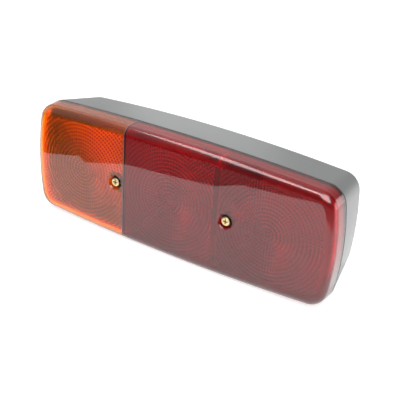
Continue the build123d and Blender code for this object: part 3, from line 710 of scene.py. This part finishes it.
def painted_divider_shade(tree, x, y, z):
    """How much painted shade darkens the inner face along the bare divider: fully at the top, less towards
    the foot.
    """
    strip = calculate(tree, "COMPARE", x, STRIP_X, STRIP_HALF_WIDTH)
    strip = calculate(tree, "MULTIPLY", strip, calculate(tree, "COMPARE", z, 0.0, STRIP_HALF_HEIGHT))
    strip = calculate(tree, "MULTIPLY", strip, calculate(tree, "GREATER_THAN", y, STRIP_OUTER_Y))
    return calculate(tree, "MULTIPLY", strip, ramp(tree, z, -STRIP_HALF_HEIGHT, 0.0, STRIP_FOOT, 1.0))


def clear_lens_plastic(name, colour, deep, clearness, haze):
    """Clear plastic, deeper in colour in the pillows, with painted shade along the bare divider, and pale at
    the weld.
    """
    finish, tree, shader = new_finish(
        name, ior=LENS_IOR, coat_weight=LENS_COAT, coat_roughness=LENS_COAT_ROUGHNESS
    )
    pillow = wire(tree, "ShaderNodeAttribute", attribute_name="pillow").outputs["Fac"]
    field = wire(tree, "ShaderNodeAttribute", attribute_name="optic_field").outputs["Fac"]
    x, y, z = own_xyz(tree)
    weld = calculate(tree, "COMPARE", x, COLOUR_LINE_X, WELD_HALF_WIDTH)
    rise = calculate(tree, "ADD", z, calculate(tree, "SUBTRACT", x, HAZE_X))
    hazy = ramp(tree, rise, HAZE_START, HAZE_FULL, clearness, clearness - haze)
    clear = spread(tree, field, PLAIN_CLEARNESS, hazy)
    clear = calculate(tree, "MULTIPLY", clear, calculate(tree, "SUBTRACT", 1.0, weld))
    tree.links.new(clear, shader.inputs["Transmission Weight"])
    tint = blend_colours(tree, pillow, colour, deep)
    # Painted shade: the lens is darkened where the bare divider shows through it.
    tint = blend_colours(tree, painted_divider_shade(tree, x, y, z), tint, DIVIDER_SHADE_RED)
    tree.links.new(blend_colours(tree, weld, tint, WELD), shader.inputs["Base Color"])
    inset = side_inset(tree, x, z, 0.0)
    polish = ramp(tree, inset, DULL_INSET, POLISHED_INSET, EDGE_ROUGHNESS, FACE_ROUGHNESS)
    tree.links.new(polish, shader.inputs["Roughness"])
    roughen(tree, shader, object_noise(tree, LENS_RIPPLE, LENS_RIPPLE_DETAIL), LENS_RIPPLE_DEPTH)
    depth = wire(tree, "ShaderNodeVolumeAbsorption", {"Color": colour, "Density": LENS_DENSITY})
    tree.links.new(depth.outputs[0], tree.nodes["Material Output"].inputs["Volume"])
    return finish


def make_lens(node, plastic, tree):
    """A copy of a lens's solid with its plain rings worked into pillows and its polished faces kept true."""
    solid = solids[node].data
    shape = bmesh.new()
    shape.from_mesh(solid)
    polish = shape.loops.layers.float_vector.new("polish")
    loops = [loop for face in shape.faces for loop in face.loops]
    for loop, normal in zip(loops, solid.corner_normals):
        loop[polish] = normal.vector
    bmesh.ops.remove_doubles(shape, verts=shape.verts, dist=MERGE_DISTANCE)
    mask = shape.verts.layers.float.new("optic_field")
    axis_layer = shape.verts.layers.float.new("optic_axis")
    for chamber in LENS_CHAMBERS[node]:
        low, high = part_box(f"{chamber}_bulb_glass")
        lay_field(shape, (low[0] + high[0]) / 2, mask, axis_layer)
    loose = [corner for corner in shape.verts if not corner.link_faces]
    bmesh.ops.delete(shape, geom=loose, context="VERTS")
    mesh = bpy.data.meshes.new(f"{node}_moulding")
    shape.to_mesh(mesh)
    shape.free()
    piece = new_piece(f"{node}_moulding", mesh)
    run_tree(piece, tree, {
        "Ring Pitch": RING_PITCH,
        "Ring Land": RING_LAND,
        "Pillow Width": PILLOW_WIDTH,
        "Pillow Height": PILLOW_HEIGHT,
        "Plastic": plastic,
    })
    smooth(piece)
    piece.data.normals_split_custom_set([corner.vector for corner in piece.data.attributes["polish"].data])
    piece.data.attributes.remove(piece.data.attributes["polish"])
    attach(piece, "root")
    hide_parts(node)
    return piece


optics = pillow_tree()
amber_plastic = clear_lens_plastic("amber_plastic", AMBER, DEEP_AMBER, AMBER_CLEARNESS, AMBER_HAZE)
red_plastic = clear_lens_plastic("red_plastic", RED, DEEP_RED, RED_CLEARNESS, RED_HAZE)
amber_lens = make_lens("amber_lens", amber_plastic, optics)
red_lens = make_lens("red_lens", red_plastic, optics)

# Lens screws: small steel pan heads in yellow passivated zinc, turned down through the lens into the bushes.
# They are sunk in the wells on their washers, and painted shade darkens them below the tops of the heads.
SCREW_SHADE_START = 0.10 * MM
SCREW_SHADE_FULL = 0.70 * MM
SCREW_SHADE = (0.10, 0.085, 0.04, 1)
ZINC_DULL = (0.66, 0.50, 0.20, 1)
ZINC_BRIGHT = (0.86, 0.76, 0.46, 1)
ZINC_CLOUD = 700
ZINC_ROUGHNESS = (0.22, 0.38)


def yellow_zinc():
    """Clouded yellow plating, with painted shade darkening it from the top of the head downwards."""
    finish, tree, shader = new_finish("yellow_zinc", metallic=1.0)
    cloud = object_noise(tree, ZINC_CLOUD)
    colour = blend_colours(tree, cloud, ZINC_DULL, ZINC_BRIGHT)
    head_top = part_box("lens_screws")[0][1]
    # Painted shade: darker below the top of the head, in the cross recess and down the sides.
    below_top_shade = ramp(tree, own_xyz(tree)["Y"], head_top + SCREW_SHADE_START, head_top + SCREW_SHADE_FULL)
    tree.links.new(blend_colours(tree, below_top_shade, colour, SCREW_SHADE), shader.inputs["Base Color"])
    tree.links.new(spread(tree, cloud, *ZINC_ROUGHNESS), shader.inputs["Roughness"])
    return finish


dress("lens_screws", yellow_zinc())

# Studio floor and sky: a wide sheet of white paper under a white sky.
# The paper glows a little where it is seen directly, in a mirror or through the lens, and so stays white.
# Mirrors and clear plastic see a sky that is brightest low behind the lamp on the left, and dark in front.
FLOOR_Z = -43.8 * MM
FLOOR_HALF = 3.0
FLOOR_OUTLINE = (
    (-FLOOR_HALF, -FLOOR_HALF),
    (FLOOR_HALF, -FLOOR_HALF),
    (FLOOR_HALF, FLOOR_HALF),
    (-FLOOR_HALF, FLOOR_HALF),
)
FLOOR_WHITE = (0.55, 0.55, 0.55, 1)
FLOOR_GLOW = 0.68
SKY_COLOUR = (1, 1, 1, 1)
SKY_LIGHT = 0.25
SKY_WHITE = 1.0
SKY_DARK = 0.08
SKY_BRIGHT = 1.05
SKY_FOOT = -0.1
SKY_HEAD = 1.5
SKY_LEAN = 0.8
SKY_RISE = 0.35
SKY_SIDE = 1.0


def bare_finish(name):
    """A new material with an empty tree."""
    finish = bpy.data.materials.new(name)
    finish.use_nodes = True
    finish.node_tree.nodes.clear()
    return finish, finish.node_tree


def studio_sheet(name, outline, height, finish):
    """A flat sheet that belongs to the studio and not to the lamp."""
    mesh = bpy.data.meshes.new(name)
    mesh.from_pydata([(x, y, height) for x, y in outline], [], [range(len(outline))])
    mesh.materials.append(finish)
    sheet = new_piece(name, mesh)
    return sheet


def seen_directly(tree):
    """One for rays that see a thing from the camera, in a mirror or through glass."""
    path = wire(tree, "ShaderNodeLightPath").outputs
    total = calculate(tree, "ADD", path["Is Camera Ray"], path["Is Glossy Ray"])
    total = calculate(tree, "ADD", total, path["Is Transmission Ray"])
    return calculate(tree, "MINIMUM", total, 1.0)


def floor_paper():
    """White paper that glows where it is seen directly."""
    finish, tree = bare_finish("floor_paper")
    paper = wire(tree, "ShaderNodeBsdfDiffuse", {"Color": FLOOR_WHITE})
    strength = calculate(tree, "MULTIPLY", seen_directly(tree), FLOOR_GLOW)
    glow = wire(tree, "ShaderNodeEmission", {"Strength": strength})
    both = wire(tree, "ShaderNodeAddShader", {0: paper.outputs[0], 1: glow.outputs[0]})
    wire(tree, "ShaderNodeOutputMaterial", {"Surface": both.outputs[0]})
    return finish


def studio_sky():
    """A plain white sky to the camera, a soft graded one to mirrors, and a faint even light on the rest."""
    world = bpy.data.worlds.new("studio")
    world.use_nodes = True
    tree = world.node_tree
    tree.nodes.clear()
    toward = wire(tree, "ShaderNodeTexCoord").outputs["Generated"]
    way = wire(tree, "ShaderNodeSeparateXYZ", {0: toward}).outputs
    lean = calculate(tree, "MULTIPLY", way["Z"], SKY_RISE)
    lean = calculate(tree, "MULTIPLY_ADD", way["X"], -SKY_SIDE, lean)
    lean = calculate(tree, "MULTIPLY_ADD", way["Y"], SKY_LEAN, lean)
    tone = ramp(tree, lean, SKY_FOOT, SKY_HEAD, SKY_DARK - SKY_LIGHT, SKY_BRIGHT - SKY_LIGHT)
    path = wire(tree, "ShaderNodeLightPath").outputs
    mirrored = calculate(tree, "MAXIMUM", path["Is Glossy Ray"], path["Is Transmission Ray"])
    strength = calculate(tree, "MULTIPLY_ADD", mirrored, tone, SKY_LIGHT)
    strength = calculate(tree, "MULTIPLY_ADD", path["Is Camera Ray"], SKY_WHITE - SKY_LIGHT, strength)
    sky = wire(tree, "ShaderNodeBackground", {"Color": SKY_COLOUR, "Strength": strength})
    wire(tree, "ShaderNodeOutputWorld", {"Surface": sky.outputs[0]})
    return world


studio_sheet("floor", FLOOR_OUTLINE, FLOOR_Z, floor_paper())
bpy.context.scene.world = studio_sky()


# Studio lights: a broad softbox overhead lights the whole lamp, and a strip draws the line on the lens edge.
# One light stands beside the amber end, where mirrors don't see it, and one at the red end lights that end.
# A window behind the lamp shines along the housing's top.
def soft_light(name, place, aim, width, height, power, mirrored=True):
    """A rectangular light turned towards its aim, which mirrors may be kept from seeing."""
    lamp = bpy.data.lights.new(name, "AREA")
    lamp.shape = "RECTANGLE"
    lamp.size = width
    lamp.size_y = height
    lamp.energy = power
    light = bpy.data.objects.new(name, lamp)
    light.location = place
    light.visible_glossy = mirrored
    light.rotation_mode = "QUATERNION"
    light.rotation_quaternion = (Vector(aim) - Vector(place)).to_track_quat("-Z", "Y")
    bpy.context.scene.collection.objects.link(light)


soft_light("softbox", (0.33, -0.52, 0.78), (0, -0.04, 0), width=0.9, height=0.9, power=15.0)
soft_light("strip", (-0.30, -0.215, 0.84), (0, -0.05, 0.04), width=0.7, height=0.24, power=2.8)
soft_light(
    "amber_side", (-0.85, -0.55, 0.25), (-0.08, -0.03, 0), width=0.4, height=0.4, power=2.0, mirrored=False
)
soft_light("red_end", (0.8, 0.3, 0.08), (0.1, 0, 0), width=0.9, height=0.5, power=4.0)
soft_light("window", (-0.55, 0.97, 0.17), (0, 0, 0), width=0.34, height=0.4, power=0.32)

# Studio cards: a grey sheet under the red lens is painted shadow, the floor's shade under the lamp, seen
# only through the lens, as its lower edge looks down there.
# A dark card in front keeps the white floor out of the upper half of the polished face.
# A white card behind the red end brightens that end. The two cards are seen in mirrors only.
PAD_DARK = (0.10, 0.10, 0.10, 1)
PAD_PALE = (0.16, 0.16, 0.16, 1)
PAD_GRAIN = 400
PAD_Z = FLOOR_Z + 0.02 * MM
PAD_OUTLINE = ((-0.040, -0.080), (0.150, -0.080), (0.150, 0.0), (-0.040, 0.0))
CARD_BLACK = (0.04, 0.04, 0.04, 1)
CARD_GREY = (0.18, 0.18, 0.18, 1)
CARD_BLACK_X = -0.200
CARD_GREY_X = -0.125
CARD_Z = FLOOR_Z + 1 * MM
FLOOR_CARD_OUTLINE = (
    (-3.0, -0.110),
    (-0.182, -0.132),
    (-0.156, -0.147),
    (-0.144, -0.141),
    (-0.116, -0.161),
    (-0.030, -0.177),
    (-0.014, -0.193),
    (0.053, -0.203),
    (0.185, -0.200),
    (0.270, -0.115),
    (3.0, 0.3),
    (3.0, -3.0),
    (-3.0, -3.0),
)
WHITE_GLOW = 1.8
END_CARD_OUTLINE = (
    (0.125, -0.03),
    (0.50, -0.03),
    (0.50, 0.40),
    (-0.05, 0.40),
    (-0.05, 0.03),
    (0.125, 0.01),
)


def floor_shadow_sheet():
    """Grey sheet with a grain, painted shadow of the floor under the lamp."""
    finish, tree, shader = new_finish("floor_shadow_sheet", roughness=1.0, specular_ior_level=0.0)
    tone = blend_colours(tree, object_noise(tree, PAD_GRAIN), PAD_DARK, PAD_PALE)
    tree.links.new(tone, shader.inputs["Base Color"])
    return finish


def dark_card():
    """Black card that fades to grey towards the right."""
    finish, tree, shader = new_finish("card_dark", roughness=1.0, specular_ior_level=0.0)
    fade = ramp(tree, own_xyz(tree)["X"], CARD_BLACK_X, CARD_GREY_X)
    tree.links.new(blend_colours(tree, fade, CARD_BLACK, CARD_GREY), shader.inputs["Base Color"])
    return finish


def white_card():
    """White card that glows evenly."""
    finish, tree = bare_finish("card_white")
    glow = wire(tree, "ShaderNodeEmission", {"Strength": WHITE_GLOW})
    wire(tree, "ShaderNodeOutputMaterial", {"Surface": glow.outputs[0]})
    return finish


# Painted shadow: this sheet darkens what the lens's lower edge sees of the floor.
shadow_sheet = studio_sheet("shadow_sheet", PAD_OUTLINE, PAD_Z, floor_shadow_sheet())
floor_card = studio_sheet("floor_card", FLOOR_CARD_OUTLINE, CARD_Z, dark_card())
end_card = studio_sheet("end_card", END_CARD_OUTLINE, CARD_Z, white_card())
for card in (shadow_sheet, floor_card, end_card):
    card.visible_camera = False
    card.visible_diffuse = False
    card.visible_shadow = False
    card.visible_glossy = card != shadow_sheet
    card.visible_transmission = card == shadow_sheet

# Camera: stands to the right of the lamp and above it, with a long lens on a square frame.
# Its place, turn and shift are those that lay the lamp's outline over the one in the photograph.
AIM = Vector((0, -44.5 * MM, 0))
AZIMUTH = math.radians(32.587)
ELEVATION = math.radians(26.836)
ROLL = math.radians(3.153)
DISTANCE = 0.59424
FOCAL_LENGTH = 78.27
SENSOR_WIDTH = 36.0
SHIFT_RIGHT = 0.0444
SHIFT_UP = -0.0168
NEAREST = 0.01
FARTHEST = 20.0
camera_data = bpy.data.cameras.new("camera")
camera_data.lens = FOCAL_LENGTH
camera_data.sensor_width = SENSOR_WIDTH
camera_data.shift_x = SHIFT_RIGHT
camera_data.shift_y = SHIFT_UP
camera_data.clip_start = NEAREST
camera_data.clip_end = FARTHEST
camera = bpy.data.objects.new("camera", camera_data)
bpy.context.scene.collection.objects.link(camera)
bpy.context.scene.camera = camera
backward = Vector((
    math.sin(AZIMUTH) * math.cos(ELEVATION),
    -math.cos(AZIMUTH) * math.cos(ELEVATION),
    math.sin(ELEVATION),
))
camera.location = AIM + backward * DISTANCE
camera.rotation_mode = "QUATERNION"
camera.rotation_quaternion = (-backward).to_track_quat("-Z", "Y") @ Quaternion((0, 0, 1), ROLL)

# Picture: light bounces often enough to pass in through the lens, off the lacquer and out again.
LIGHT_BOUNCES = 24
DIFFUSE_BOUNCES = 12
bpy.context.scene.view_settings.view_transform = "Standard"
bpy.context.scene.cycles.max_bounces = LIGHT_BOUNCES
bpy.context.scene.cycles.diffuse_bounces = DIFFUSE_BOUNCES
